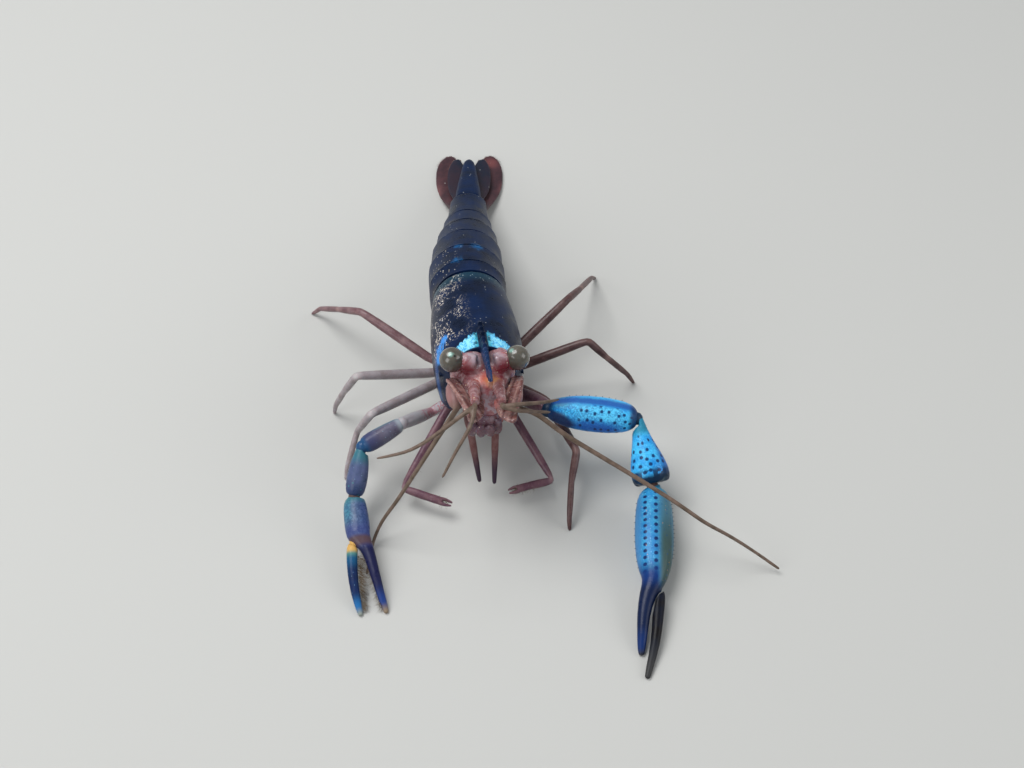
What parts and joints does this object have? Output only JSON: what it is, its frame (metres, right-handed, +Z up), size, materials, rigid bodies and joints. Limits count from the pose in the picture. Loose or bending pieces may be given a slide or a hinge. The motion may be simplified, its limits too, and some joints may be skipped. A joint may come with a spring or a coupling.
{
  "type": "river prawn model",
  "caption": "Life-size still model of a dark blue river prawn standing on its legs and tail fan, one great bright blue claw, one slim claw, long feelers, toothed rostrum and stalked eyes",
  "frame": {"origin": "Middle of the model's box, at the level of the floor that the feet, claw tips and tail fan stand on", "axes": "+Y towards the tail, +X to the animal's left, +Z up"},
  "size_m": [0.0543, 0.0927, 0.0258],
  "materials": {
    "shell": "glossy navy shell with blue patches and pale flecks",
    "tail_fan": "dark wine blades with reddish edges",
    "underside": "pale lilac, satin",
    "face": "whitish pink with red marks, wet",
    "mouth": "wine red to purple, satin",
    "eye": "polished olive grey globe",
    "peduncle": "salmon with cream spots, wet",
    "whisker": "tan, satin",
    "scale": "brownish pink blade, translucent look",
    "first_leg": "reddish violet, satin",
    "leg_red": "dark red brown, satin",
    "leg_pale": "whitish lilac, satin",
    "claw_azure": "bright azure with navy dots, glossy",
    "finger_dark": "near black with a grey tip, glossy",
    "claw_violet": "blue violet, iridescent",
    "claw_teal": "iridescent blue and teal, glossy",
    "swimmeret": "pale lilac leaf, satin"
  },
  "bodies": {
    "root": {"carapace": "shell", "rostrum": "shell", "abdomen_1": "shell", "abdomen_2": "shell", "abdomen_3": "shell", "abdomen_4": "shell", "abdomen_5": "shell", "abdomen_6": "shell", "telson": "shell", "uropod_inner_left": "tail_fan", "uropod_inner_right": "tail_fan", "uropod_outer_left": "tail_fan", "uropod_outer_right": "tail_fan", "thorax": "underside", "head": "face", "mouthparts": "mouth", "eye_left": "eye", "eye_right": "eye", "eyestalk_left": "face", "eyestalk_right": "face", "antennule_left": "peduncle", "antennule_right": "peduncle", "antennule_whiskers_left": "whisker", "antennule_whiskers_right": "whisker", "antenna_left": "whisker", "antenna_right": "whisker", "antenna_scale_left": "scale", "antenna_scale_right": "scale", "maxilliped_left": "mouth", "maxilliped_right": "mouth", "leg_1_left": "first_leg", "leg_1_right": "first_leg", "leg_3_left": "leg_red", "leg_4_left": "leg_red", "leg_5_left": "leg_red", "leg_3_right": "leg_pale", "leg_4_right": "leg_pale", "leg_5_right": "leg_red", "claw_base_left": "first_leg", "claw_arm_left": "claw_azure", "claw_wrist_left": "claw_azure", "claw_hand_left": "claw_azure", "claw_finger_left": "finger_dark", "claw_base_right": "leg_pale", "claw_arm_right": "claw_violet", "claw_wrist_right": "claw_violet", "claw_hand_right": "claw_teal", "claw_finger_right": "claw_teal", "pleopod_1_left": "swimmeret", "pleopod_2_left": "swimmeret", "pleopod_3_left": "swimmeret", "pleopod_4_left": "swimmeret", "pleopod_5_left": "swimmeret", "pleopod_1_right": "swimmeret", "pleopod_2_right": "swimmeret", "pleopod_3_right": "swimmeret", "pleopod_4_right": "swimmeret", "pleopod_5_right": "swimmeret"}
  },
  "joints": []
}
